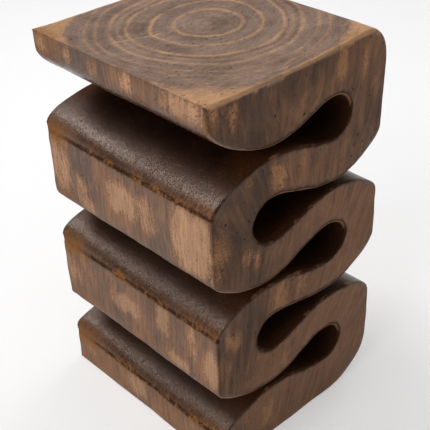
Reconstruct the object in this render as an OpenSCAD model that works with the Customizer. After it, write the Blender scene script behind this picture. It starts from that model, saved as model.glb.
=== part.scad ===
// Carved wooden headrest: one block of wood, cut from both sides into a thick ribbon that folds to and fro.
// X runs across the folds, Y runs through the block and Z is up.
// The origin is on the floor, under the middle of the block.
// The slots are counted from the lowest one up. The first, third and fifth open on the -X side, the others on +X.
// Each slot has a flared mouth between two lips, a narrow neck, and a round eye that ends blind.

/* [Block] */
// Width of the block, across the folds
block_w = 102; // [96:0.5:110]
// Depth of the block at its foot, through the folds
block_d = 107.5; // [80:0.5:130]
// How far the left and the right side lean in at the foot
foot_inset = [1.5, 2.9]; // [0:0.1:3.5]
// How far the back leans in at the top
back_lean = 1.4; // [0.2:0.1:3]
// Height of the top's left rim above the fifth neck
slab_rise = 31.3; // [29:0.1:36]
// Rise of the top from its left rim to its right shoulder
top_tilt = 1.4; // [0:0.1:3]
// Sag of the top where the head lies
top_sag = 1.5; // [0:0.1:4]
// Width of the rounded shoulder, top right
shoulder_w = 13; // [6:0.5:16]
// Height of the rounded shoulder, top right
shoulder_h = 16.5; // [6:0.5:20]
// Width of the rounded heel, bottom right
heel_w = 30; // [10:1:36]
// Height of the rounded heel, bottom right
heel_h = 22; // [5:1:24]

/* [Slots] */
// Height of the first neck above the base, then of each neck above the one before
neck_step = [31.1, 31.8, 25.5, 30.7, 31]; // [25:0.1:33]
// Depth of each neck from the side that its slot opens on
neck_depth = [31.5, 29.5, 29, 28, 35]; // [24:0.5:36]
// Height of the gap at each neck
neck_gap = [2.2, 4.3, 2.2, 3, 4]; // [1:0.1:5]
// Height of each upper lip above its neck
lip_rise = [12.8, 18, 14.2, 16.8, 22.6]; // [12:0.1:23]
// Depth of each lower lip below its neck
lip_drop = [14.2, 17.2, 14.5, 14.9, 17.2]; // [13:0.1:18]
// Fullness of the fold below each mouth, from chamfered to round
fold_fullness = [0.3, 0.55, 0.35, 0.38, 0.38]; // [0.25:0.01:0.6]

/* [Eyes] */
// Depth of each eye's middle from the side that its slot opens on
eye_depth = [69.5, 68, 68.5, 68.5, 70]; // [64:0.5:72]
// Depth of each eye's blind end
tip_depth = [80.2, 78, 80.8, 79.4, 80.3]; // [75:0.1:82]
// Height of each eye's roof above its neck
eye_rise = [10.6, 7.1, 11.2, 10, 10.5]; // [6:0.1:12]
// Depth of each eye's floor below its neck
eye_drop = [7.9, 11.2, 7.8, 10.4, 8.5]; // [7:0.1:12]

/* [Drying check] */
// Plan position of the wood's pith, which the check points at
pith = [2.6, 3.4]; // [-10:0.1:10]
// Direction of the check from the pith
check_angle = 162.6; // [150:0.1:170]
// Distance from the pith to the filled check's inner end
check_start = 22; // [15:0.5:26]
// Length of the filled check
check_length = 13; // [6:0.5:16]
// Greatest width of the filled check
check_width = 0.8; // [0.4:0.1:2]
// Depth of the filled check
check_depth = 6; // [2:0.5:8]

/* [Hidden] */

// Pieces that each curve of the outline is drawn in
steps = 10;
// How far each kind of curve runs on straight before it bends, as a share of its reach
lip_pull = 0.35;
mouth_pull = 0.4;
flare_pull = 0.46;
roof_pull = 0.3;
round_pull = 0.55;
// How far the check's cutter stands above the top
clear = 5;

// Running total of the first n + 1 numbers of a list
function total(list, n) = n < 0 ? 0 : list[n] + total(list, n - 1);

neck_z = [for (i = [0 : len(neck_step) - 1]) total(neck_step, i)];
left_rim_z = neck_z[len(neck_z) - 1] + slab_rise;
block_h = left_rim_z + top_tilt;

// Points of a cubic curve from a to d, without its last point
function curve(a, b, c, d) = [
    for (i = [0 : steps - 1])
        let (t = i / steps, s = 1 - t)
        s * s * s * a + 3 * s * s * t * b + 3 * s * t * t * c + t * t * t * d
];

// A curve that leaves a upright and reaches d level
function rise_to_level(a, d, pull_a, pull_d) =
    curve(a, a + [0, pull_a * (d.y - a.y)], d - [pull_d * (d.x - a.x), 0], d);

// A curve that leaves a level and reaches d upright
function level_to_rise(a, d, pull_a, pull_d) =
    curve(a, a + [pull_a * (d.x - a.x), 0], d - [0, pull_d * (d.y - a.y)], d);

// A curve that is level at both ends
function level_to_level(a, d, pull_a, pull_d) =
    curve(a, a + [pull_a * (d.x - a.x), 0], d - [pull_d * (d.x - a.x), 0], d);

// Edge of one slot, from its upper lip round the eye to its lower lip, as [depth, height]
function slot_edge(i) =
    let (
        z = neck_z[i],
        upper_lip = [0, z + lip_rise[i]],
        neck_roof = [neck_depth[i], z + neck_gap[i] / 2],
        eye_roof = [eye_depth[i], z + eye_rise[i]],
        tip = [tip_depth[i], z + (eye_rise[i] - eye_drop[i]) / 2],
        eye_floor = [eye_depth[i], z - eye_drop[i]],
        neck_floor = [neck_depth[i], z - neck_gap[i] / 2],
        lower_lip = [0, z - lip_drop[i]]
    )
    concat(
        rise_to_level(upper_lip, neck_roof, lip_pull, mouth_pull),
        level_to_level(neck_roof, eye_roof, flare_pull, roof_pull),
        level_to_rise(eye_roof, tip, round_pull, round_pull),
        rise_to_level(tip, eye_floor, round_pull, round_pull),
        level_to_level(eye_floor, neck_floor, roof_pull, flare_pull),
        level_to_rise(neck_floor, lower_lip, fold_fullness[i], fold_fullness[i]),
        [lower_lip]
    );

// The same edge for a slot that opens on +X
function right_slot(i) = [for (p = slot_edge(i)) [block_w - p.x, p.y]];

// The same edge for a slot that opens on -X, taken upwards
function left_slot(i) = let (edge = slot_edge(i)) [for (k = [len(edge) - 1 : -1 : 0]) edge[k]];

// The dished top, from the left rim to the shoulder
function top_edge() =
    let (
        rim = [0, left_rim_z],
        crest = [block_w - shoulder_w, block_h],
        sag = [0, 4 / 3 * top_sag]
    )
    curve(rim, rim + (crest - rim) / 3 - sag, rim + (crest - rim) * 2 / 3 - sag, crest);

function shoulder_edge() =
    level_to_rise([block_w - shoulder_w, block_h], [block_w, block_h - shoulder_h], round_pull, round_pull);

function heel_edge() =
    rise_to_level([block_w, heel_h], [block_w - heel_w, 0], round_pull, round_pull);

// Outline of the ribbon with upright sides, clockwise from the top's left rim
upright_outline = concat(
    top_edge(),
    shoulder_edge(),
    [[block_w, block_h - shoulder_h]],
    right_slot(3),
    right_slot(1),
    heel_edge(),
    [[block_w - heel_w, 0], [0, 0]],
    left_slot(0),
    left_slot(2),
    left_slot(4)
);

// The same outline about the middle of the block, with both sides leaning in towards the foot
outline = [
    for (p = upright_outline)
        let (
            down = 1 - p.y / block_h,
            left = -block_w / 2 + foot_inset[0] * down,
            right = block_w / 2 - foot_inset[1] * down
        )
        [left + (right - left) * p.x / block_w, p.y]
];

// Room in front of the leaning plane of the back
module in_front_of_back() {
    reach = block_w / 2 + clear;
    lean = back_lean / (block_h + clear);
    translate([-reach, 0, -clear])
        rotate([90, 0, 90])
            linear_extrude(height = 2 * reach)
                polygon([
                    [-block_d / 2 - clear, 0],
                    [block_d / 2, 0],
                    [block_d / 2 - lean * (block_h + 2 * clear), block_h + 2 * clear],
                    [-block_d / 2 - clear, block_h + 2 * clear]
                ]);
}

// The whole block with its slots cut, before the check
module ribbon() {
    intersection() {
        translate([0, block_d / 2, 0])
            rotate([90, 0, 0])
                linear_extrude(height = block_d)
                    polygon(outline);
        in_front_of_back();
    }
}

// The open check: a thin spindle in plan, along a line from the pith, cut down from the top
module drying_check() {
    side = [for (i = [0 : steps]) [check_length * i / steps, check_width / 2 * sin(180 * i / steps)]];
    back = [for (i = [steps - 1 : -1 : 1]) [side[i].x, -side[i].y]];
    translate([pith.x, pith.y, left_rim_z - top_sag - check_depth])
        rotate([0, 0, check_angle])
            translate([check_start, 0, 0])
                linear_extrude(height = check_depth + top_sag + top_tilt + clear)
                    polygon(concat(side, back));
}

// The carved block
module headrest_body() {
    color("#5f4a3c")
        difference() {
            ribbon();
            drying_check();
        }
}

// The pale filler pressed into the check, flush with the top
module check_filler() {
    color("#b9bcbd")
        intersection() {
            ribbon();
            drying_check();
        }
}

headrest_body();
check_filler();
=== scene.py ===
"""Looks of the carved wooden headrest: one block of dark wood, cut into a ribbon that folds to and fro.

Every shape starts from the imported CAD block. The script takes the block's outline from the CAD node, sweeps
it through the block as a fine mesh with worn rims and a hand-carved surface, and gives it a solid wood whose
growth rings, streaks and pores run through the whole block.

Lengths are in metres. Materials work in millimetres, with noise sizes and distances given in them.
"""

import math

import bmesh
import bpy
import numpy as np
from mathutils import Matrix, Vector, geometry, noise


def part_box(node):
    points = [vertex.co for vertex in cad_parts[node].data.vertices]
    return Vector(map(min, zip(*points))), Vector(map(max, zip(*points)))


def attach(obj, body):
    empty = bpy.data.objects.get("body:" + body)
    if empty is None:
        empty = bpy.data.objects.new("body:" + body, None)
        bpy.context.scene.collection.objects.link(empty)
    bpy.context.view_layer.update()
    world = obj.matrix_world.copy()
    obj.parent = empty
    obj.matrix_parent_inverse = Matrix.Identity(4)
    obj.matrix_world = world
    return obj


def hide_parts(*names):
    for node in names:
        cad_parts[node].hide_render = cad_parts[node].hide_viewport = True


MM = 0.001

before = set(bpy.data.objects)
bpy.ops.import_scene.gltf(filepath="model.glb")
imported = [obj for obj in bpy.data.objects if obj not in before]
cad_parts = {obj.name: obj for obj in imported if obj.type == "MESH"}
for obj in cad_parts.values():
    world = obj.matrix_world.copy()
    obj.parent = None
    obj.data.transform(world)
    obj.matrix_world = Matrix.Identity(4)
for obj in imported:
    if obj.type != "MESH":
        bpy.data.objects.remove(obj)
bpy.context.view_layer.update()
BLOCK_LOW, BLOCK_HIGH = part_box("headrest_body")
FILLER_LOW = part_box("check_filler")[0]

# The pith, which the growth rings and the drying check are centred on, in plan.
PITH = Vector((2.6, 3.4)) * MM
# Direction of the check from the pith.
CHECK_ANGLE = math.radians(162.6)


# ------------ outline of the ribbon

SAME_POINT = 1e-6           # grid that the CAD's points are rounded to
FRONT_DEPTH = 2             # how many grid steps a point may lie off the front face and still be on it
NEAR_BACK = 0.9             # share of the depth past which a point belongs to the back face
SHARP_CORNER = math.radians(35)
CORNER_HOLD = 1.7 * MM      # how near a sharp corner the outline keeps its own line before it rounds
CORNER_ROUNDS = 3           # how often the corners are cut to round them
COARSE_STEP = 1.5 * MM      # spacing of the mesh on flat and gently curved stretches
FINE_STEP = 0.4 * MM        # spacing round a sharp corner
BEND_SHARE = 0.3            # share of the bend's radius that one step may span
BEND_SPREAD = 9             # how many points the measured bend is smoothed over
TINY = 1e-9


def cad_outline():
    """The block's front face as a closed loop of (x, z) points, in order."""
    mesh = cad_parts["headrest_body"].data
    keys = [tuple(round(c / SAME_POINT) for c in v.co) for v in mesh.vertices]
    front = round(BLOCK_LOW.y / SAME_POINT)
    uses = {}
    for face in mesh.polygons:
        loop = [keys[i] for i in face.vertices]
        if all(abs(k[1] - front) <= FRONT_DEPTH for k in loop):
            for a, b in zip(loop, loop[1:] + loop[:1]):
                uses.setdefault(frozenset((a, b)), []).append((a, b))
    after = {pair[0][0]: pair[0][1] for pair in uses.values() if len(pair) == 1}
    start = next(iter(after))
    chain = [start]
    while after[chain[-1]] != start:
        chain.append(after[chain[-1]])
    return np.array([(k[0], k[2]) for k in chain]) * SAME_POINT


def back_slope():
    """How far the block's back leans in for each unit of height."""
    points = [v.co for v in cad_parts["headrest_body"].data.vertices]
    points = [p for p in points if p.y > NEAR_BACK * BLOCK_HIGH.y]
    return -np.polyfit([p.z for p in points], [p.y for p in points], 1)[0]


def step_lengths(points):
    """Length of the step from each point of the loop to the next."""
    return np.linalg.norm(np.roll(points, -1, 0) - points, axis=1)


def smoothed(values, width):
    """The values along the loop, each averaged with its neighbours over the given number of points."""
    kernel = np.hanning(width) / np.hanning(width).sum()
    half = width // 2
    return np.convolve(np.concatenate([values[-half:], values, values[:half]]), kernel, "valid")


def turn_angles(points):
    """How far the loop turns at each point."""
    before = points - np.roll(points, 1, 0)
    ahead = np.roll(points, -1, 0) - points
    cross = before[:, 0] * ahead[:, 1] - before[:, 1] * ahead[:, 0]
    return np.arctan2(cross, (before * ahead).sum(1))


def hold_corners(points):
    """Adds a point on each side of every sharp corner, so that rounding stays close to it."""
    sharp = np.abs(turn_angles(points)) > SHARP_CORNER
    held = []
    for i, point in enumerate(points):
        if sharp[i]:
            to_last = points[i - 1] - point
            to_next = points[(i + 1) % len(points)] - point
            held.append(point + to_last / np.linalg.norm(to_last) * CORNER_HOLD)
            held.append(point)
            held.append(point + to_next / np.linalg.norm(to_next) * CORNER_HOLD)
        else:
            held.append(point)
    return np.array(held)


def cut_corners(points, rounds):
    """Smooths a closed loop by cutting its corners again and again."""
    for _ in range(rounds):
        ahead = np.roll(points, -1, 0)
        points = np.stack([0.75 * points + 0.25 * ahead, 0.25 * points + 0.75 * ahead], 1).reshape(-1, 2)
    return points


def spaced(points):
    """The same loop with steps that are short where it bends tightly."""
    spacing = np.clip(BEND_SHARE / np.maximum(local_bend(points), TINY), FINE_STEP, COARSE_STEP)
    cost = np.concatenate([[0], np.cumsum(step_lengths(points) / spacing)])
    count = int(round(cost[-1]))
    closed = np.vstack([points, points[:1]])
    at = np.arange(count) * cost[-1] / count
    return np.stack([np.interp(at, cost, closed[:, axis]) for axis in (0, 1)], 1)


def local_bend(points):
    """Bend of the loop at each point, as one over the radius, smoothed along the loop."""
    step = step_lengths(points)
    bend = np.abs(turn_angles(points)) / np.maximum((step + np.roll(step, 1)) / 2, TINY)
    return smoothed(bend, BEND_SPREAD)


def outward(points):
    """Unit normals of a closed loop, pointing out of the wood."""
    along = np.roll(points, -1, 0) - np.roll(points, 1, 0)
    along /= np.linalg.norm(along, axis=1)[:, None]
    normals = np.stack([along[:, 1], -along[:, 0]], 1)
    area = (points[:, 0] * np.roll(points[:, 1], -1) - np.roll(points[:, 0], -1) * points[:, 1]).sum()
    return normals if area > 0 else -normals


# ------------ what kind of surface each point is on

FLAT_SIDE = 0.985           # how square to X a stretch of outline is when it belongs to a flat side
NEAR_SIDE = 0.95            # share of the half width past which such a stretch is a flat side
CROWN_HEIGHT = 12.0 * MM    # how far below the block's top the crown may reach
BASE_HEIGHT = 0.5 * MM      # how far above the foot the base may reach
SLOT_POINTS = 20            # a slot's run of outline points is longer than this
FACING_DOWN = -0.05         # a lip whose normal points further down than this is an under lip
UNDER_LIP = 0.45            # how torn the under lips are, and the edges of the top and the foot
BURNISH_SPREAD = 7          # how many points the burnish fades over
LIP_REACH = 2.0 * MM        # half width of the band of torn grain along a lip
BRIM_REACH = 9.0 * MM       # how far from a lip the wood may be stained orange
RIM_REACH = 0.5 * MM        # half width of the worn line along a rim
SLOT_SHADE_START = 3.0 * MM       # depth in a slot where the painted shade starts to darken the wood
SLOT_SHADE_FULL = 25.0 * MM       # depth where the painted shade is darkest


def smooth_step(value, low, high):
    """Smooth rise from 0 to 1 as the value goes from low to high."""
    t = np.clip((value - low) / (high - low), 0, 1)
    return t * t * (3 - 2 * t)


def surface_kinds(points, normals):
    """Amounts from 0 to 1 for each outline point: crown, burnish, slot shade (painted shade that darkens the
    slots with depth), lip and brim.
    """
    half = (BLOCK_HIGH.x - BLOCK_LOW.x) / 2
    centre = (BLOCK_HIGH.x + BLOCK_LOW.x) / 2
    top = BLOCK_HIGH.z
    x, z = points[:, 0] - centre, points[:, 1]
    on_side = (np.abs(normals[:, 0]) > FLAT_SIDE) & (np.abs(x) > NEAR_SIDE * half)
    crown = smooth_step(normals[:, 1], 0.6, 0.95) * (z > top - CROWN_HEIGHT)
    base = z < BASE_HEIGHT
    cut = ~on_side & (crown < 0.5) & ~base
    lengths = np.concatenate([[0], np.cumsum(step_lengths(points))])
    total, at = lengths[-1], lengths[:-1]
    lip = np.zeros(len(points))
    brim = np.zeros(len(points))
    slot_shade = np.zeros(len(points))
    run_start = [i for i in range(len(points)) if cut[i] and not cut[i - 1]]
    for first in run_start:
        last = first
        while cut[(last + 1) % len(points)]:
            last += 1
        run = np.arange(first, last + 1) % len(points)
        is_slot = on_side[first - 1] and on_side[(last + 1) % len(points)] and len(run) > SLOT_POINTS
        for end in (run[0], run[-1]):
            near = np.abs(at - at[end])
            near = np.minimum(near, total - near)
            weight = 1.0 if is_slot and normals[end, 1] > FACING_DOWN else UNDER_LIP
            lip = np.maximum(lip, weight * np.exp(-((near / LIP_REACH) ** 2)))
            brim = np.maximum(brim, weight * smooth_step(-near, -BRIM_REACH, 0))
        if is_slot:
            # painted shade: the deeper a point lies in a slot, the darker the wood is painted
            depth = np.abs(x[run] - math.copysign(half, x[run[0]]))
            slot_shade[run] = smooth_step(depth, SLOT_SHADE_START, SLOT_SHADE_FULL)
    burnish = smoothed(cut.astype(float), BURNISH_SPREAD)
    return {"crown": crown, "burnish": burnish, "slot_shade": slot_shade, "lip": lip, "brim": brim}


SURFACE_AMOUNTS = ("crown", "burnish", "slot_shade", "lip", "brim", "rim", "tan")


# ------------ tan patches of sapwood

# Patches that show on the -X side: (y, z, half width, half height, how plain), in millimetres.
LEFT_PATCHES = [
    (-41, 176, 13, 7, 0.8), (-9, 176, 5, 5, 0.5), (12, 176, 4, 5, 0.4), (29, 176, 3, 5, 0.5),
    (47, 177, 6, 6, 0.7),
    (-42, 118, 12.5, 17, 1.0), (-15, 118, 6, 9, 0.6), (2, 119, 11, 8, 1.0), (27, 105, 6, 5, 0.5),
    (33, 111, 7, 9, 0.45), (46, 121, 8, 16, 0.7),
    (-49, 56, 5, 11, 0.95), (-38, 64, 2.5, 10, 0.8), (-28, 47, 7, 5, 0.8), (-19, 67, 4.5, 9, 0.9),
    (7, 60, 12, 6, 0.7), (43, 64, 10, 14, 0.4),
    (-31, 9, 4, 7, 0.65), (-11, 8, 4, 5, 0.4), (7, 10, 8, 7, 0.7), (44, 9, 6, 6, 0.4),
]
# Patches that show on the front: (x, z, half width, half height, how plain).
FRONT_PATCHES = [
    (-38, 172, 3, 7, 0.45), (-24, 182, 2, 2, 0.7), (-9, 182, 3, 2.5, 0.8), (22, 174, 4, 9, 0.5),
    (36, 170, 3, 7, 0.45), (43, 158, 2, 6, 0.4),
    (-29, 142, 3, 5, 0.45), (-14, 138, 5.5, 8, 0.65),
    (-32, 107, 3, 5, 0.5), (-27, 104, 3, 6, 0.5), (21, 108, 5, 8, 0.5),
    (-44, 72, 3, 7, 0.6), (-39, 67, 3, 7, 0.55), (-13, 77, 6, 9, 0.75), (1, 78, 5, 8, 0.5),
    (-51, 59, 2.5, 10, 0.6), (25, 76, 4, 6, 0.4), (38, 72, 3, 7, 0.4),
    (-10, 40, 3, 6, 0.6), (-32, 38, 3, 5, 0.5),
    (-21, 14, 5, 11, 0.65),
]
PATCH_DEPTH = 11.0          # how far a patch runs into the wood
PATCH_SQUARENESS = 3        # 2 makes the patches ellipses, and higher numbers make them squarer


def tan_amounts(points):
    """How tan the wood is at each point, from 0 to 1, by the patches."""
    x, y, z = (points / MM).T
    found = np.zeros(len(points))
    sides = ((LEFT_PATCHES, y, x - BLOCK_LOW.x / MM), (FRONT_PATCHES, x, y - BLOCK_LOW.y / MM))
    for patches, along, depth in sides:
        for at, height, half_width, half_height, plain in patches:
            shares = ((along - at) / half_width, (z - height) / half_height, depth / PATCH_DEPTH)
            reach = sum(np.abs(share) ** PATCH_SQUARENESS for share in shares) ** (1 / PATCH_SQUARENESS)
            found = np.maximum(found, plain * smooth_step(-reach, -1.5, -0.3))
    return found


# ------------ the carved body

RIM_RADIUS = 0.85 * MM      # usual rounding of the rims
RIM_VARIATION = 0.45 * MM
RIM_WAVE = 9.0 * MM         # length along a rim over which its rounding varies
RIM_RINGS = 4
RIM_ROOM = 0.4              # share of a tight corner's radius that the rim's rounding may take
CHIP_DEPTH = 0.5 * MM       # deepest chip out of a lip
BACK_FULLNESS = 3.5 * MM    # how much fuller the folds that face -X are at the back
CAP_STEP = 1.7 * MM
CAP_CLEARANCE = 0.95 * MM
CHUNK = 400                 # how many points are measured at once
# Unevenness of the hand-carved surface: depth, size and seed of each wave.
WAVES = [(0.40 * MM, 38 * MM, 3.1), (0.22 * MM, 13 * MM, 9.4), (0.07 * MM, 4.5 * MM, 17.2)]
CHIP_SIZE = 2.6 * MM


def wander(point, size, seed=0.0):
    """Smooth random number from about -1 to 1 that changes over the given size."""
    return noise.noise(Vector(point) / size + Vector((seed, 1.7 * seed, -seed)))


def carve(point, normal, lip, burnish):
    """The point moved as on a hand-worked surface, with chipped lips and folds that fill out at the back."""
    push = sum(depth * wander(point, size, seed) for depth, size, seed in WAVES)
    push -= CHIP_DEPTH * lip * max(0.0, wander(point, CHIP_SIZE, 21.8) + 0.2)
    fold_top = burnish * (1 - lip) * max(0.0, normal.z) * smooth_step(-normal.x, 0.15, 0.55)
    push += BACK_FULLNESS * fold_top * smooth_step(point.y, 5 * MM, BLOCK_HIGH.y)
    return point + normal * push


def stations():
    """(y, share of the rim's radius left in y, share taken off the outline) from front to back."""
    low, high = BLOCK_LOW.y, BLOCK_HIGH.y
    angles = [math.pi / 2 * k / RIM_RINGS for k in range(RIM_RINGS, -1, -1)]
    rows = [(low, 1 - math.sin(a), 1 - math.cos(a)) for a in angles]
    reach = RIM_RADIUS + RIM_VARIATION
    count = int((high - low - 2 * reach) / COARSE_STEP)
    rows += [(low + reach + (high - low - 2 * reach) * (k + 0.5) / count, 0, 0) for k in range(count)]
    rows += [(high, -(1 - math.sin(a)), 1 - math.cos(a)) for a in reversed(angles)]
    return rows


def inside(points, loop):
    """Which points lie inside a closed loop."""
    found = np.zeros(len(points), bool)
    for (x0, z0), (x1, z1) in zip(loop, np.roll(loop, -1, 0)):
        crosses = (z0 > points[:, 1]) != (z1 > points[:, 1])
        if z0 != z1:
            found ^= crosses & (points[:, 0] < (x1 - x0) * (points[:, 1] - z0) / (z1 - z0) + x0)
    return found


def nearest(points, loop):
    """Distance from each point to the nearest point of the loop."""
    return np.concatenate([
        np.linalg.norm(chunk[:, None] - loop[None], axis=2).min(1)
        for chunk in np.array_split(points, max(1, len(points) // CHUNK))
    ])


def cap_mesh(loop):
    """Triangles that fill a closed loop, with a regular field of points inside it."""
    low, high = loop.min(0), loop.max(0)
    rows = []
    for k, z in enumerate(np.arange(low[1], high[1], CAP_STEP * math.sqrt(0.75))):
        xs = np.arange(low[0] + (k % 2) * CAP_STEP / 2, high[0], CAP_STEP)
        rows.append(np.stack([xs, np.full(len(xs), z)], 1))
    field = np.vstack(rows)
    field = field[inside(field, loop)]
    field = field[nearest(field, loop) > CAP_CLEARANCE]
    points = np.vstack([loop, field])
    border = [list(range(len(loop)))]
    result = geometry.delaunay_2d_cdt([Vector(p) for p in points], [], border, 1, TINY)
    faces, origins = result[2], result[3]
    if any(len(o) != 1 for o in origins):
        raise ValueError("the cap's points were merged or split")
    back = [o[0] for o in origins]
    return field, [[back[i] for i in face] for face in faces]


def add_amounts(mesh, amounts):
    """Writes one number per vertex under each name, for the material."""
    for name, values in amounts.items():
        layer = mesh.attributes.new(name, "FLOAT", "POINT")
        layer.data.foreach_set("value", np.asarray(values, np.float32))


def face_outwards(mesh):
    """Turns every face's front side out of the wood."""
    shape = bmesh.new()
    shape.from_mesh(mesh)
    bmesh.ops.recalc_face_normals(shape, faces=shape.faces)
    shape.to_mesh(mesh)
    shape.free()


def carved_body():
    """The whole block as one closed mesh, with its surface amounts."""
    outline = spaced(cut_corners(hold_corners(cad_outline()), CORNER_ROUNDS))
    normals = outward(outline)
    kinds = surface_kinds(outline, normals)
    rows = stations()
    count = len(outline)
    room = RIM_ROOM / np.maximum(local_bend(outline), TINY)
    mid_y = (BLOCK_LOW.y + BLOCK_HIGH.y) / 2

    places, pushes = [], []
    amounts = {name: [] for name in (*kinds, "rim")}
    for y, y_share, off_share in rows:
        for i in range(count):
            x, z = outline[i]
            nx, nz = normals[i]
            radius = min(RIM_RADIUS + RIM_VARIATION * wander((x, y, z), RIM_WAVE, 5.5), room[i])
            off = radius * off_share
            across = y_share * radius
            outer = math.copysign(1.0, y - mid_y) * off_share
            places.append(Vector((x - nx * off, y + across, z - nz * off)))
            pushes.append(Vector((nx * (1 - off_share), outer, nz * (1 - off_share))).normalized())
        to_rim = min(y - BLOCK_LOW.y, BLOCK_HIGH.y - y)
        rim = math.exp(-((max(0.0, to_rim - RIM_RADIUS / 2) / RIM_REACH) ** 2))
        for name, values in kinds.items():
            amounts[name] += list(values)
        amounts["rim"] += [rim] * count

    faces = []
    for r in range(len(rows) - 1):
        for i in range(count):
            j = (i + 1) % count
            faces.append((r * count + i, r * count + j, (r + 1) * count + j, (r + 1) * count + i))

    for row, direction in ((0, -1.0), (len(rows) - 1, 1.0)):
        ring = places[row * count:(row + 1) * count]
        loop = np.array([(p.x, p.z) for p in ring])
        field, triangles = cap_mesh(loop)
        first = len(places)
        y = rows[row][0]
        places += [Vector((x, y, z)) for x, z in field]
        pushes += [Vector((0, direction, 0))] * len(field)
        for name in kinds:
            amounts[name] += [0.0] * len(field)
        to_edge = nearest(field, loop)
        amounts["rim"] += list(np.exp(-((to_edge / RIM_REACH) ** 2)))
        where = [row * count + i for i in range(count)] + [first + k for k in range(len(field))]
        faces += [tuple(where[i] for i in face) for face in triangles]

    moved = [carve(*each) for each in zip(places, pushes, amounts["lip"], amounts["burnish"])]
    slope = back_slope() / (BLOCK_HIGH.y - BLOCK_LOW.y)
    for point in moved:
        point.y -= slope * point.z * (point.y - BLOCK_LOW.y)
        point.z = max(point.z, BLOCK_LOW.z)
    amounts["tan"] = tan_amounts(np.array([tuple(p) for p in moved]))
    mesh = bpy.data.meshes.new("carved_body")
    mesh.from_pydata([tuple(p) for p in moved], [], faces)
    mesh.validate()
    add_amounts(mesh, amounts)
    face_outwards(mesh)
    mesh.shade_smooth()
    body = bpy.data.objects.new("carved_body", mesh)
    bpy.context.scene.collection.objects.link(body)
    return body


# ------------ the drying check and its filler

CHECK_START = 22 * MM       # distance from the pith
CHECK_LENGTH = 13 * MM
CHECK_STEPS = 24
GROOVE_WIDTH = 0.62 * MM
FILLER_WIDTH = 0.58 * MM
FILLER_SUNK = 0.03 * MM     # how far the filler lies below the wood beside it
GROOVE_RISE = 5.0 * MM      # how far the groove's cutter stands above the block
GROOVE_MARGIN = 2.0 * MM    # how far round the cutter the surface is marked as the top
SIGHT_HEIGHT = 10.0 * MM    # height above the block that the wood's height is measured from
SLIVER_BLUNTNESS = 0.7      # 1 makes the ends of a sliver slim, and 0 square
SLIVER_UNEVENNESS = 0.35
SLIVER_SWAY = 0.12 * MM


def spindle(name, width, low, high):
    """A thin closed sliver on the check's line, with narrow ends. high(x, y) is the height of its top."""
    direction = Vector((math.cos(CHECK_ANGLE), math.sin(CHECK_ANGLE), 0))
    sideways = Vector((-direction.y, direction.x, 0))
    shape = bmesh.new()
    sections = []
    for k in range(1, CHECK_STEPS):
        t = k / CHECK_STEPS
        half = width / 2 * math.sin(math.pi * t) ** SLIVER_BLUNTNESS
        half *= 1 + SLIVER_UNEVENNESS * wander((k, 2.0, 0.0), 2.3)
        sway = SLIVER_SWAY * wander((k, 7.0, 0.0), 3.7)
        centre = Vector((PITH.x, PITH.y, 0)) + direction * (CHECK_START + CHECK_LENGTH * t)
        centre += sideways * sway
        left, right = centre - sideways * half, centre + sideways * half
        bottom = [Vector((p.x, p.y, low)) for p in (left, right)]
        top = [Vector((p.x, p.y, high(p.x, p.y))) for p in (right, left)]
        sections.append([shape.verts.new(p) for p in bottom + top])
    for one, other in zip(sections, sections[1:]):
        for k in range(4):
            shape.faces.new((one[k], other[k], other[(k + 1) % 4], one[(k + 1) % 4]))
    shape.faces.new(sections[0])
    shape.faces.new(sections[-1][::-1])
    bmesh.ops.recalc_face_normals(shape, faces=shape.faces)
    mesh = bpy.data.meshes.new(name)
    shape.to_mesh(mesh)
    shape.free()
    piece = bpy.data.objects.new(name, mesh)
    bpy.context.scene.collection.objects.link(piece)
    return piece


def make_filler(body):
    """The filler, whose top follows the carved wood."""
    above = BLOCK_HIGH.z + SIGHT_HEIGHT

    def wood_height(x, y):
        return body.ray_cast(Vector((x, y, above)), Vector((0, 0, -1)))[1].z - FILLER_SUNK

    return spindle("wax_filler", FILLER_WIDTH, FILLER_LOW.z + FILLER_SUNK, wood_height)


def cut_groove(body, cutter):
    """Cuts the open check into the body, and marks the surface round it as the block's top."""
    step = body.modifiers.new("groove", "BOOLEAN")
    step.operation = "DIFFERENCE"
    step.solver = "EXACT"
    step.object = cutter
    scene_now = bpy.context.evaluated_depsgraph_get()
    mesh = bpy.data.meshes.new_from_object(body.evaluated_get(scene_now))
    body.modifiers.clear()
    body.data = mesh
    low = np.array(cutter.bound_box).min(0) - GROOVE_MARGIN
    high = np.array(cutter.bound_box).max(0) + GROOVE_MARGIN
    near = [v.index for v in mesh.vertices if all(low[k] < v.co[k] < high[k] for k in range(3))]
    for layer in mesh.attributes:
        if layer.name in SURFACE_AMOUNTS:
            for i in near:
                layer.data[i].value = 1.0 if layer.name == "crown" else 0.0
    bpy.data.objects.remove(cutter)


# ------------ materials

def colour(red, green, blue):
    """A screen colour, each part from 0 to 255, as linear light."""
    parts = [c / 255 for c in (red, green, blue)]
    return tuple(c / 12.92 if c <= 0.04045 else ((c + 0.055) / 1.055) ** 2.4 for c in parts) + (1.0,)


def grey(level):
    return (level, level, level, 1)


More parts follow.
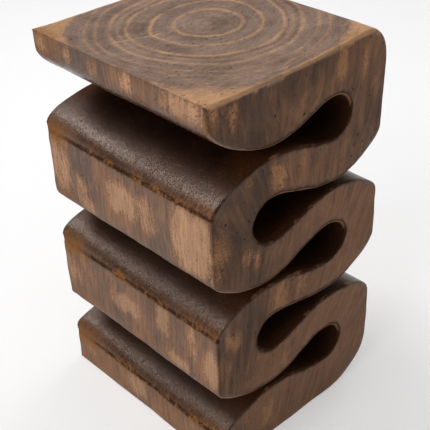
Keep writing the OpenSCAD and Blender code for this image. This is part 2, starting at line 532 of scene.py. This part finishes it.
class Shader:
    """Short calls that add linked nodes to one material. Sizes in them are in millimetres."""

    def __init__(self, name):
        self.material = bpy.data.materials.new(name)
        self.material.use_nodes = True
        self.tree = self.material.node_tree
        self.tree.nodes.clear()
        self.surface = self.node("ShaderNodeBsdfPrincipled")
        output = self.node("ShaderNodeOutputMaterial")
        self.tree.links.new(self.surface.outputs[0], output.inputs[0])

    def node(self, kind, **settings):
        made = self.tree.nodes.new(kind)
        for name, value in settings.items():
            setattr(made, name, value)
        return made

    def plug(self, value, socket):
        if isinstance(value, bpy.types.NodeSocket):
            self.tree.links.new(value, socket)
        else:
            socket.default_value = value

    def give(self, name, value):
        """Sets one input of the surface."""
        self.plug(value, self.surface.inputs[name])

    def math(self, operation, *values, clamp=False):
        made = self.node("ShaderNodeMath", operation=operation, use_clamp=clamp)
        for value, socket in zip(values, made.inputs):
            self.plug(value, socket)
        return made.outputs[0]

    def vector(self, operation, *values):
        made = self.node("ShaderNodeVectorMath", operation=operation)
        sockets = [made.inputs[0], made.inputs["Scale"]] if operation == "SCALE" else made.inputs
        for value, socket in zip(values, sockets):
            self.plug(value, socket)
        return made.outputs["Value" if operation in ("LENGTH", "DOT_PRODUCT") else "Vector"]

    def position(self):
        """The point's place in the block, in millimetres."""
        place = self.node("ShaderNodeTexCoord").outputs["Object"]
        return self.vector("MULTIPLY", place, (1 / MM, 1 / MM, 1 / MM))

    def noise(self, vector, size, detail=2.0, rough=0.5, seed=0.0, output="Fac"):
        """Noise whose features are size millimetres across."""
        scaled = self.vector("MULTIPLY_ADD", vector, (1 / size,) * 3, (seed, seed * 1.3, -seed))
        made = self.node("ShaderNodeTexNoise", noise_dimensions="3D")
        self.plug(scaled, made.inputs["Vector"])
        made.inputs["Scale"].default_value = 1.0
        made.inputs["Detail"].default_value = detail
        made.inputs["Roughness"].default_value = rough
        return made.outputs[output]

    def times(self, value, *others):
        for other in others:
            value = self.math("MULTIPLY", value, other)
        return value

    def plus(self, value, *others):
        for other in others:
            value = self.math("ADD", value, other)
        return value

    def larger(self, one, other):
        return self.math("MAXIMUM", one, other)

    def spread(self, value, width):
        """A noise's value, which runs from 0 to 1, moved to run from -width / 2 to width / 2."""
        return self.times(self.math("SUBTRACT", value, 0.5), width)

    def axis(self, vector, index):
        made = self.node("ShaderNodeSeparateXYZ")
        self.plug(vector, made.inputs[0])
        return made.outputs[index]

    def cells(self, vector, size, seed):
        """Distance to the nearest of many scattered points, in cells of the given size."""
        scaled = self.vector("MULTIPLY_ADD", vector, (1 / size,) * 3, (seed, -seed, seed * 0.7))
        made = self.node("ShaderNodeTexVoronoi", feature="F1")
        self.plug(scaled, made.inputs["Vector"])
        made.inputs["Scale"].default_value = 1.0
        return made.outputs["Distance"]

    def step(self, value, low, high, out_low=0.0, out_high=1.0):
        """Smooth rise from out_low to out_high as the value goes from low to high."""
        made = self.node("ShaderNodeMapRange", interpolation_type="SMOOTHSTEP")
        for given, socket in zip((value, low, high, out_low, out_high), made.inputs):
            self.plug(given, socket)
        return made.outputs[0]

    def mix(self, share, one, other):
        """The first colour at share 0, the other at share 1."""
        made = self.node("ShaderNodeMix", data_type="RGBA")
        self.plug(share, made.inputs[0])
        self.plug(one, made.inputs[6])
        self.plug(other, made.inputs[7])
        return made.outputs[2]

    def ramp(self, value, stops):
        """Level between the given stops of (place, level)."""
        made = self.node("ShaderNodeValToRGB")
        self.plug(value, made.inputs[0])
        elements = made.color_ramp.elements
        while len(elements) < len(stops):
            elements.new(0.5)
        for element, (place, level) in zip(elements, stops):
            element.position = place
            element.color = (level, level, level, 1)
        return made.outputs[0]

    def amount(self, name):
        """One of the numbers that the mesh holds for each vertex."""
        return self.node("ShaderNodeAttribute", attribute_name=name).outputs["Fac"]

    def bump(self, height, strength, distance):
        made = self.node("ShaderNodeBump")
        self.plug(height, made.inputs["Height"])
        made.inputs["Strength"].default_value = strength
        made.inputs["Distance"].default_value = distance
        return made.outputs[0]


# Distances of the tan growth rings from the pith, with how plain each is, in millimetres.
RINGS = [(13.7, 0.75), (22.8, 0.9), (32.6, 0.85), (36.4, 0.3), (40.2, 0.7), (46.5, 0.4), (50.8, 0.3)]
RING_WIDTH = 1.15           # how far a ring's colour reaches towards the pith
RING_TAIL = 1.5             # its reach the other way, as a share of RING_WIDTH
RING_RANGE = 80.0
HEARTWOOD_RADIUS = 57.0
# The fibres fan out from a line that runs along Y, this far below the block and this far to -X.
FAN_DEPTH, FAN_OFFSET = 110.0, 40.0
# Stretch of the check's line, from the pith, that has healed tan wood beside it.
HEALED_FROM, HEALED_TO = 19.0, 46.0

DARK_SIDE = colour(103, 84, 73)
WARM_SIDE = colour(150, 107, 77)
TAN_SIDE = colour(176, 135, 103)
# darker copies of the side colours for the front and back faces: partly painted shade, as the front gets less
# light
SHADED_DARK_FRONT = colour(82, 61, 49)
SHADED_WARM_FRONT = colour(130, 92, 66)
SHADED_TAN_FRONT = colour(158, 113, 76)
CUT_WOOD = colour(50, 26, 12)
CUT_TAN = colour(136, 86, 48)
# colour of the dark nicks, and of the painted shade deep in the slots
DARK_NICKS_AND_SHADE = colour(30, 14, 6)
# lighter painted shade where the slots open, standing in for the light that gets in there
OPEN_END_SHADE = colour(84, 50, 28)
CROWN_WOOD = colour(143, 119, 105)
CROWN_DARK = colour(106, 86, 75)
RING_TAN = colour(190, 149, 112)
SAP_TAN = colour(190, 145, 106)
LIP_ORANGE = colour(150, 100, 54)
LIP_DARK = colour(44, 22, 9)
# tan of rubbed rims, also used as a painted highlight on edges
RUBBED_AND_LIT_TAN = colour(150, 108, 72)
RIM_DARK = colour(48, 28, 16)
PORE_DARK = colour(30, 19, 13)
SHEEN_TINT = (1.0, 0.78, 0.66, 1)

PLAIN_ROUGHNESS = 0.52
BURNISHED_ROUGHNESS = 0.25
CROWN_ROUGHNESS = 0.6
TORN_ROUGHNESS = 0.7
WOOD_RELIEF = 0.0003        # metres of height for a relief of 1


def ring_stops():
    """Stops of a ramp over RING_RANGE that peaks at each ring."""
    stops = [(0.0, 0.0)]
    for radius, level in RINGS:
        stops.append(((radius - RING_WIDTH) / RING_RANGE, 0.0))
        stops.append((radius / RING_RANGE, level))
        stops.append(((radius + RING_WIDTH * RING_TAIL) / RING_RANGE, 0.0))
    return stops


class Wood(Shader):
    """Solid wood: upright fibres, growth rings round the pith, tan patches, worn and burnished surfaces."""

    def __init__(self):
        super().__init__("carved_dark_wood")
        self.crown = self.amount("crown")
        self.burnish = self.amount("burnish")
        self.slot_shade = self.amount("slot_shade")
        self.lip = self.amount("lip")
        self.brim = self.amount("brim")
        self.rim = self.amount("rim")
        self.place = self.position()
        self.drift = self.vector("SUBTRACT", self.noise(self.place, 85, 1, output="Color"), (0.5, 0.5, 0.5))
        self.make_fibres()
        self.make_growth()
        self.make_pores()
        self.make_scratches()
        self.make_torn_grain()
        self.facing = self.node("ShaderNodeTexCoord").outputs["Normal"]
        # 1 on the sides that the slots open on, 0 on the ribbon's cut edge.
        self.sideways = self.step(self.math("ABSOLUTE", self.axis(self.facing, 0)), 0.4, 0.8)

    # The fields that the layers share.

    def make_fibres(self):
        """Streaks, fibres and grit that the whole block shares."""
        height = self.axis(self.place, 2)
        fan = self.math("DIVIDE", height, self.plus(height, FAN_DEPTH))
        lean = self.times(self.plus(self.axis(self.place, 0), FAN_OFFSET), fan)
        straightened = self.vector("SUBTRACT", self.place, self.vector("SCALE", (1, 0, 0), lean))
        self.fibre = self.vector("MULTIPLY_ADD", self.drift, (22, 22, 0), straightened)
        upright = self.vector("MULTIPLY", self.fibre, (1, 1, 0.06))
        self.loose = self.vector("MULTIPLY", self.fibre, (1, 1, 0.36))
        self.broad = self.noise(upright, 12, 3, seed=1)
        self.fine = self.noise(upright, 1.7, 4, 0.65, seed=2)
        self.hair = self.noise(upright, 0.6, 2, 0.6, seed=3)
        self.grit = self.noise(self.place, 0.8, 3, 0.7, seed=13)

    def make_growth(self):
        """Places and distances in plan from the pith, a little uneven, and blotches."""
        from_pith = self.vector("SUBTRACT", self.place, (PITH.x / MM, PITH.y / MM, 0))
        self.flat = self.vector("MULTIPLY", from_pith, (1, 1, 0))
        sway = self.spread(self.noise(self.flat, 30, 1, seed=4), 6)
        self.jitter = self.spread(self.noise(self.flat, 5, 4, 0.6, seed=17), 1.3)
        self.radius = self.plus(self.vector("LENGTH", self.flat), self.plus(sway, self.jitter))
        self.mottle = self.noise(self.flat, 16, 7, 0.72, seed=10)

    def round_pith(self, share):
        """Places in which a noise is stretched round the pith: the smaller the share, the longer."""
        radial = self.vector("SCALE", (0, 0, 1), self.radius)
        return self.vector("MULTIPLY_ADD", self.flat, (share, share, 0), radial)

    def make_pores(self):
        """Open pores in clusters, and small ones nearly everywhere. Burnishing closes most of them."""
        field = self.vector("MULTIPLY", self.fibre, (1, 1, 0.38))
        open_pores = self.step(self.cells(field, 2.0, seed=5), 0.07, 0.15, 1.0, 0.0)
        clusters = self.step(self.noise(self.loose, 10, 2, seed=6), 0.40, 0.50)
        self.open_pores = self.times(open_pores, clusters, self.step(self.burnish, 0.0, 1.0, 1.0, 0.35))
        small_pores = self.step(self.cells(field, 1.2, seed=21), 0.12, 0.22, 1.0, 0.0)
        patches = self.step(self.noise(self.loose, 6, 2, seed=22), 0.40, 0.60, 0.0, 0.75)
        self.small_pores = self.times(small_pores, patches, self.step(self.burnish, 0.0, 1.0, 1.0, 0.3))

    def make_scratches(self):
        """Marks on burnished wood: scratches and short nicks across a fold, and strokes along it."""
        across = self.vector("MULTIPLY_ADD", self.drift, (30, 30, 30), self.place)
        across = self.vector("MULTIPLY", across, (0.12, 1, 0.12))
        lengthwise = self.vector("MULTIPLY_ADD", self.drift, (60, 30, 30), self.place)
        lengthwise = self.vector("MULTIPLY", lengthwise, (1, 0.10, 1))
        self.scratches = self.noise(across, 0.5, 3, 0.7, seed=8)
        self.strokes = self.noise(lengthwise, 0.6, 3, 0.7, seed=27)
        self.nicks = self.noise(across, 0.55, 2, 0.6, seed=19)

    def make_torn_grain(self):
        """A ragged dark edge along the lips, flecks beside it, and stains at the folds' back ends."""
        self.torn = self.noise(self.place, 1.1, 4, 0.7, seed=11)
        self.torn_slow = self.noise(self.place, 8, 3, seed=16)
        edge = self.plus(self.lip, self.spread(self.torn, 0.9))
        self.lip_edge = self.times(self.step(edge, 0.50, 0.95), self.step(self.lip, 0.05, 0.3))
        back_end = self.plus(self.axis(self.place, 1), self.spread(self.torn_slow, 26))
        back_end = self.times(self.step(back_end, 28, 46), self.step(self.brim, 0.02, 0.3))
        stained = self.plus(self.times(self.brim, 0.5), self.spread(self.torn, 1.8))
        stained = self.times(self.step(stained, -0.05, 0.5), back_end, 0.8)
        flecked = self.plus(self.times(self.lip, 0.35), self.spread(self.torn_slow, 1.2))
        flecked = self.plus(flecked, self.spread(self.noise(self.place, 2.0, 5, 0.75, seed=25), 2.2))
        flecked = self.times(self.step(flecked, 0.24, 0.60), self.step(self.lip, 0.02, 0.2))
        self.flecks = self.larger(flecked, stained)
        self.torn_level = self.larger(self.flecks, self.lip_edge)

    # The layers of colour.

    def tan_level(self):
        """How tan the wood is, with ragged, streaky edges. The far sides get their patches from noise."""
        far = self.step(self.vector("DOT_PRODUCT", self.place, (0.7, 0.7, 0)), 8, 30)
        far_tan = self.step(self.noise(self.loose, 19, 3, 0.55, seed=7), 0.52, 0.66, 0.0, 0.9)
        level = self.larger(self.amount("tan"), self.times(far_tan, far))
        ragged = self.plus(
            self.spread(self.fine, 0.9),
            self.spread(self.noise(self.loose, 5, 5, 0.7, seed=23), 1.9),
            self.spread(self.grit, 1.3),
        )
        return self.plus(level, self.times(ragged, self.step(level, 0.0, 0.35)))

    def side_colour(self, tan_level):
        """Greyer dark wood on the sides, and darker, browner copies of it on the front and back, which are
        partly painted shade for the less lit front, with warm streaks and tan patches.
        """
        zones = self.noise(self.vector("MULTIPLY", self.fibre, (1, 1, 0.5)), 26, 3, 0.6, seed=24)
        lower = self.step(self.vector("DOT_PRODUCT", self.place, (1.4, 0, -1)), -180, -20, -0.02, 0.28)
        warmth = self.plus(self.times(zones, 0.7), self.times(self.broad, 0.3))
        warmth = self.step(self.plus(warmth, self.spread(self.fine, 0.6), lower), 0.36, 0.80)
        front = self.mix(warmth, SHADED_DARK_FRONT, SHADED_WARM_FRONT)
        side = self.mix(warmth, DARK_SIDE, WARM_SIDE)
        # the front and back take the darker copies, which are partly painted shade
        skin = self.mix(self.sideways, front, side)
        border = self.times(self.step(tan_level, 0.05, 0.5), 0.75)
        skin = self.mix(border, skin, self.mix(self.sideways, SHADED_WARM_FRONT, WARM_SIDE))
        patch = self.times(self.step(tan_level, 0.34, 0.80), 0.96)
        return self.mix(patch, skin, self.mix(self.sideways, SHADED_TAN_FRONT, TAN_SIDE))

    def cut_colour(self, side, tan_level):
        """Burnished slot walls and fold tops: nearly black-brown, with tan scratches and dark nicks."""
        skin = self.mix(self.step(self.broad, 0.35, 0.7, 0.8, 1.0), side, CUT_WOOD)
        scratched = self.step(self.scratches, 0.50, 0.72)
        scratched = self.times(scratched, self.step(tan_level, 0.15, 0.7, 0.10, 0.6))
        front_end = self.step(self.axis(self.place, 1), -18, -50, 0.15, 0.9)
        rubbed = self.times(self.step(self.scratches, 0.3, 0.7), self.brim, front_end)
        skin = self.mix(self.plus(scratched, rubbed), skin, CUT_TAN)
        skin = self.mix(self.step(self.strokes, 0.50, 0.75, 0.0, 0.5), skin, CUT_TAN)
        skin = self.mix(self.step(self.nicks, 0.58, 0.68, 0.0, 0.85), skin, DARK_NICKS_AND_SHADE)
        return self.mix(self.step(self.grit, 0.56, 0.72, 0.0, 0.45), skin, CUT_TAN)

    def crown_colour(self):
        """The top: dry end grain with tan rings and flecks, and sapwood corners."""
        skin = self.mix(self.ring_level(), self.end_grain(), RING_TAN)
        slivers = self.noise(self.round_pith(0.3), 1.8, 4, 0.7, seed=28)
        near_front = self.step(self.vector("DOT_PRODUCT", self.place, (-0.3, -0.95, 0)), 12, 40, 0.0, 0.65)
        skin = self.mix(self.times(self.step(slivers, 0.56, 0.66), near_front), skin, SAP_TAN)
        skin = self.mix(self.times(self.healed_level(), 0.75), skin, RING_TAN)
        heart = self.step(self.vector("LENGTH", self.vector("ADD", self.flat, self.drift)), 2.6, 0.6)
        skin = self.mix(self.times(heart, self.step(self.grit, 0.4, 0.6, 0.1, 0.7)), skin, RING_TAN)
        sap_colour = self.mix(self.times(self.step(self.mottle, 0.5, 0.7), 0.35), SAP_TAN, CROWN_DARK)
        return self.mix(self.times(self.sapwood_level(), 0.92), skin, sap_colour)

    def end_grain(self):
        """Grey-brown wood with blotches and bands, and fine pale and dark arcs, round the pith."""
        bands = self.noise(self.round_pith(0.12), 5.5, 3, 0.6, seed=26)
        paleness = self.plus(self.times(self.mottle, 0.58), self.times(bands, 0.42))
        paleness = self.plus(paleness, self.spread(self.grit, 0.35))
        skin = self.mix(self.step(paleness, 0.32, 0.60), CROWN_DARK, CROWN_WOOD)
        growth = self.noise(self.vector("SCALE", (1, 0, 0), self.radius), 1.5, 4, 0.75, seed=14)
        arc_room = self.step(self.noise(self.flat, 14, 4, 0.7, seed=20), 0.42, 0.6)
        dark_arcs = self.times(self.step(growth, 0.44, 0.34), arc_room)
        pale_arcs = self.times(self.step(growth, 0.54, 0.70), arc_room)
        skin = self.mix(self.times(dark_arcs, 0.4), skin, CUT_WOOD)
        return self.mix(self.times(pale_arcs, 0.22), skin, RING_TAN)

    def ring_level(self):
        """The tan rings, broken up here and there."""
        rings = self.ramp(self.math("DIVIDE", self.radius, RING_RANGE), ring_stops())
        return self.times(rings, self.step(self.noise(self.flat, 12, 4, 0.7, seed=9), 0.32, 0.54, 0.2, 1.0))

    def healed_level(self):
        """A thin line on the line of the drying check."""
        along = self.vector("DOT_PRODUCT", self.flat, (math.cos(CHECK_ANGLE), math.sin(CHECK_ANGLE), 0))
        aside = self.vector("DOT_PRODUCT", self.flat, (-math.sin(CHECK_ANGLE), math.cos(CHECK_ANGLE), 0))
        aside = self.math("ABSOLUTE", self.plus(aside, self.jitter))
        start = self.step(along, HEALED_FROM, HEALED_FROM + 3)
        end = self.step(along, HEALED_TO, HEALED_TO - 6)
        return self.times(start, end, self.step(aside, 0.9, 0.1))

    def sapwood_level(self):
        """Sapwood in the corners of the top, with a softer border at the -X front corner."""
        near_corner = self.step(self.vector("DOT_PRODUCT", self.place, (-0.7, -0.7, 0)), 20, 45)
        start = self.plus(self.spread(self.noise(self.flat, 7, 5, 0.65, seed=15), 9), HEARTWOOD_RADIUS)
        end = self.math("MULTIPLY_ADD", near_corner, 11, self.plus(start, 3))
        return self.step(self.radius, start, end)

    def shaded(self, skin):
        """Fibres, grit and clouds lighten and darken everything, and painted shade makes the wood darker
        towards the foot.
        """
        shade = self.step(self.fine, 0.25, 0.75, 0.84, 1.14)
        shade = self.plus(shade, self.step(self.hair, 0.3, 0.7, -0.10, 0.10))
        shade = self.plus(shade, self.spread(self.grit, self.step(self.crown, 0.0, 1.0, 0.5, 0.15)))
        cloud = self.noise(self.place, 30, 3, 0.6, seed=18)
        # painted shade: darker towards the foot, where less light falls
        foot = self.step(self.axis(self.place, 2), -30, 125, 0.74, 1.0)
        return self.vector("SCALE", skin, self.times(shade, self.step(cloud, 0.3, 0.7, 0.88, 1.1), foot))

    def with_slot_shade(self, skin):
        """Painted shade deep in the slots, which painted light makes lighter and mottled near their open ends
        and on the -X side.
        """
        from_middle = self.math("ABSOLUTE", self.axis(self.place, 1))
        # painted light: the slot shade is lighter and mottled near the open ends and on the -X side, where
        # more light reaches in
        open_end_light = self.step(self.plus(from_middle, self.spread(self.mottle, 30)), 30, 52)
        open_end_light = self.times(open_end_light, self.step(self.axis(self.place, 0), 15, -15, 0.35, 1.0))
        open_end_light = self.times(open_end_light, self.step(self.grit, 0.35, 0.65, 0.5, 1.0))
        depths = self.mix(open_end_light, DARK_NICKS_AND_SHADE, OPEN_END_SHADE)
        # painted shade over the wood, darker with depth in the slots
        return self.mix(self.times(self.slot_shade, self.step(self.mottle, 0.3, 0.7, 0.95, 0.8)), skin, depths)

    def with_lips(self, skin):
        """Torn grain along the lips."""
        skin = self.mix(self.times(self.lip_edge, 0.85), skin, LIP_DARK)
        return self.mix(self.times(self.flecks, 0.8), skin, LIP_ORANGE)

    def with_rims(self, skin):
        """A thin dark line on the rims, rubbed through to tan here and there and with a painted highlight on
        the edges that face down, and a tan line all along the top that is partly wear and partly painted
        highlight.
        """
        level = self.plus(self.rim, self.spread(self.torn_slow, 0.9))
        off_crown = self.times(self.math("SUBTRACT", 1.0, self.crown), self.step(self.rim, 0.1, 0.4))
        dark = self.times(self.step(level, 0.5, 1.0), off_crown)
        dark = self.times(dark, self.math("MULTIPLY_ADD", self.burnish, 0.3, 0.4))
        skin = self.mix(dark, skin, RIM_DARK)
        # painted highlight: edges that face down get more of the tan line
        under = self.step(self.axis(self.facing, 2), 0.0, -0.4, 0.0, 0.3)
        rubbed = self.plus(level, under, self.spread(self.torn, 0.5))
        skin = self.mix(self.times(self.step(rubbed, 1.0, 1.25), 0.6), skin, RUBBED_AND_LIT_TAN)
        # partly wear and partly painted highlight along the rims of the top
        worn = self.times(self.rim, self.crown, self.step(self.torn_slow, 0.3, 0.6, 0.25, 0.8))
        return self.mix(worn, skin, SAP_TAN)

    def with_pores(self, skin):
        skin = self.mix(self.times(self.open_pores, 0.85), skin, PORE_DARK)
        return self.mix(self.times(self.small_pores, 0.45), skin, PORE_DARK)

    # What the shader takes besides colour.

    def set_gloss(self):
        """Satin where burnished, dull on the top, in the slots and on torn grain."""
        rough = self.mix(self.burnish, grey(PLAIN_ROUGHNESS), grey(BURNISHED_ROUGHNESS))
        rough = self.mix(self.crown, rough, grey(CROWN_ROUGHNESS))
        rough = self.mix(self.larger(self.slot_shade, self.torn_level), rough, grey(TORN_ROUGHNESS))
        uneven = self.spread(self.noise(self.place, 3.5, 5, 0.75, seed=12), 0.3)
        self.give("Roughness", self.math("ADD", rough, uneven, clamp=True))
        shine = self.math("MULTIPLY_ADD", self.burnish, 0.52, 0.14)
        off_torn = self.step(self.torn_level, 0.0, 0.8, 1.0, 0.15)
        off_brim = self.step(self.times(self.brim, self.burnish), 0.1, 0.9, 1.0, 0.6)
        off_slot_shade = self.step(self.slot_shade, 0.30, 1.0, 1.0, 0.12)
        self.give("Specular IOR Level", self.times(shine, off_torn, off_brim, off_slot_shade))
        self.give("Specular Tint", SHEEN_TINT)

    def set_relief(self):
        """Fibres, pores, scratches and torn lips."""
        relief = self.plus(self.times(self.fine, 0.5), self.times(self.hair, 0.3))
        relief = self.plus(relief, self.times(self.grit, self.step(self.burnish, 0.0, 1.0, 0.5, 0.1)))
        relief = self.plus(relief, self.times(self.open_pores, -1.2), self.times(self.small_pores, -0.5))
        marks = self.math("MULTIPLY_ADD", self.strokes, 0.35, self.scratches)
        marks = self.plus(marks, self.step(self.nicks, 0.62, 0.75, 0.0, -0.35))
        relief = self.plus(relief, self.times(marks, self.burnish, 0.7))
        relief = self.plus(relief, self.times(self.torn, self.torn_level, 1.5))
        self.give("Normal", self.bump(relief, 0.8, WOOD_RELIEF))


def wood_material():
    s = Wood()
    tan_level = s.tan_level()
    side = s.side_colour(tan_level)
    skin = s.mix(s.burnish, side, s.cut_colour(side, tan_level))
    skin = s.mix(s.crown, skin, s.crown_colour())
    skin = s.with_slot_shade(s.shaded(skin))
    skin = s.with_pores(s.with_rims(s.with_lips(skin)))
    s.give("Base Color", skin)
    s.set_gloss()
    s.set_relief()
    return s.material


WAX_PALE = colour(182, 176, 170)
WAX_GREY = colour(146, 134, 124)
WAX_DIRT = colour(120, 104, 92)
WAX_RELIEF = 0.0001


def filler_material():
    """Pale wax with a crumbly, slightly dirty surface."""
    s = Shader("pale_wax_filler")
    place = s.position()
    grain = s.noise(place, 0.5, 4, 0.7)
    blotch = s.noise(place, 2.0, 2, seed=3)
    pale = s.mix(s.step(blotch, 0.3, 0.7), WAX_PALE, WAX_GREY)
    s.give("Base Color", s.mix(s.step(grain, 0.55, 0.75, 0.0, 0.5), pale, WAX_DIRT))
    s.give("Roughness", s.step(grain, 0.2, 0.8, 0.5, 0.8))
    s.give("Normal", s.bump(grain, 0.5, WAX_RELIEF))
    return s.material


# ------------ studio

CAMERA_AIM = Vector((-0.001, -0.001, 0.0894))
CAMERA_DISTANCE = 0.436
CAMERA_HEADING = 41.9       # degrees from +Y towards +X
CAMERA_DOWN = 33.3
CAMERA_ROLL = -2.4
CAMERA_LENS = 79.0
SENSOR_WIDTH = 36.0
CLIP_START = 0.01

LIGHT_AIM = Vector((0, 0, 0.09))
# Name, direction from the block, distance, side and share of each light.
LIGHTS = [
    ("key", (-0.22, 0.62, 0.75), 2.4, 1.0, 0.46),
    ("left", (-0.87, -0.05, 0.47), 2.8, 1.6, 0.28),
    ("overhead", (-0.05, 0.05, 1.0), 2.8, 3.0, 0.29),
    ("right", (0.95, 0.15, 0.50), 2.8, 1.6, 0.28),
]
WORLD_STRENGTH = 0.14
WHITE = (1.0, 1.0, 1.0, 1)

FLOOR_REACH = 3.4
COVE_RADIUS = 1.0
WALL_HEIGHT = 3.0
COVE_STEPS = 12
FLOOR_SIDES = 96
FLOOR_COLOUR = colour(214, 213, 213)
FLOOR_ROUGHNESS = 0.9
FLOOR_SHINE = 0.1
# Distances in millimetres over which the floor's glow, painted light that lifts the block's shadow near it,
# falls, and its strength before and after.
NEAR_GLOW = (250, 800, 0.34, 0.20)
# The same for its second fall, towards the wall, as a share of the first.
FAR_GLOW = (900, 3000, 1.0, 0.2)


def studio_camera():
    data = bpy.data.cameras.new("camera")
    data.lens = CAMERA_LENS
    data.sensor_width = SENSOR_WIDTH
    data.clip_start = CLIP_START
    camera = bpy.data.objects.new("camera", data)
    bpy.context.scene.collection.objects.link(camera)
    turn = Matrix.Rotation(math.radians(-CAMERA_HEADING), 4, "Z")
    turn = turn @ Matrix.Rotation(math.radians(90 - CAMERA_DOWN), 4, "X")
    turn = turn @ Matrix.Rotation(math.radians(CAMERA_ROLL), 4, "Z")
    back = turn @ Vector((0, 0, CAMERA_DISTANCE))
    camera.matrix_world = Matrix.Translation(CAMERA_AIM + back) @ turn
    bpy.context.scene.camera = camera


def area_light(name, direction, distance, side, share):
    """A square soft light. share is how bright it alone makes a white matte surface that faces it."""
    data = bpy.data.lights.new(name, "AREA")
    data.shape = "SQUARE"
    data.size = side
    data.energy = share * math.pi ** 2 * distance ** 2
    light = bpy.data.objects.new(name, data)
    bpy.context.scene.collection.objects.link(light)
    away = Vector(direction).normalized()
    turn = away.to_track_quat("Z", "Y").to_matrix().to_4x4()
    light.matrix_world = Matrix.Translation(LIGHT_AIM + away * distance) @ turn


def studio_light():
    world = bpy.data.worlds.new("studio")
    world.use_nodes = True
    background = world.node_tree.nodes["Background"]
    background.inputs["Color"].default_value = WHITE
    background.inputs["Strength"].default_value = WORLD_STRENGTH
    bpy.context.scene.world = world
    for light in LIGHTS:
        area_light(*light)
    bpy.context.scene.view_settings.view_transform = "Standard"


def floor_material():
    """Matt pale grey that glows a little as painted light, most near the block, where it lifts the block's
    shadow.
    """
    s = Shader("pale_floor")
    away = s.vector("LENGTH", s.position())
    s.give("Base Color", FLOOR_COLOUR)
    s.give("Roughness", FLOOR_ROUGHNESS)
    s.give("Specular IOR Level", FLOOR_SHINE)
    s.give("Emission Color", WHITE)
    s.give("Emission Strength", s.times(s.step(away, *NEAR_GLOW), s.step(away, *FAR_GLOW)))
    return s.material


def studio_floor():
    """A round floor that curves up into a wall, so that no view looks past its edge."""
    profile = [(FLOOR_REACH, 0.0)]
    for k in range(1, COVE_STEPS + 1):
        turn = math.pi / 2 * k / COVE_STEPS
        profile.append((FLOOR_REACH + COVE_RADIUS * math.sin(turn), COVE_RADIUS * (1 - math.cos(turn))))
    profile.append((FLOOR_REACH + COVE_RADIUS, WALL_HEIGHT))
    shape = bmesh.new()
    rings = []
    for reach, height in profile:
        turns = [2 * math.pi * k / FLOOR_SIDES for k in range(FLOOR_SIDES)]
        rings.append([shape.verts.new((reach * math.cos(t), reach * math.sin(t), height)) for t in turns])
    shape.faces.new(rings[0])
    for one, other in zip(rings, rings[1:]):
        for k in range(FLOOR_SIDES):
            shape.faces.new((one[k - 1], one[k], other[k], other[k - 1])).smooth = True
    mesh = bpy.data.meshes.new("floor")
    shape.to_mesh(mesh)
    shape.free()
    mesh.materials.append(floor_material())
    floor = bpy.data.objects.new("floor", mesh)
    bpy.context.scene.collection.objects.link(floor)


# ------------ the model

def finish_piece(piece, material, node):
    piece.data.materials.append(material)
    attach(piece, "root")
    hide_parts(node)


studio_camera()
studio_floor()
studio_light()
body = carved_body()
bpy.context.view_layer.update()
filler = make_filler(body)
cut_groove(body, spindle("groove", GROOVE_WIDTH, FILLER_LOW.z, lambda x, y: BLOCK_HIGH.z + GROOVE_RISE))
finish_piece(body, wood_material(), "headrest_body")
finish_piece(filler, filler_material(), "check_filler")
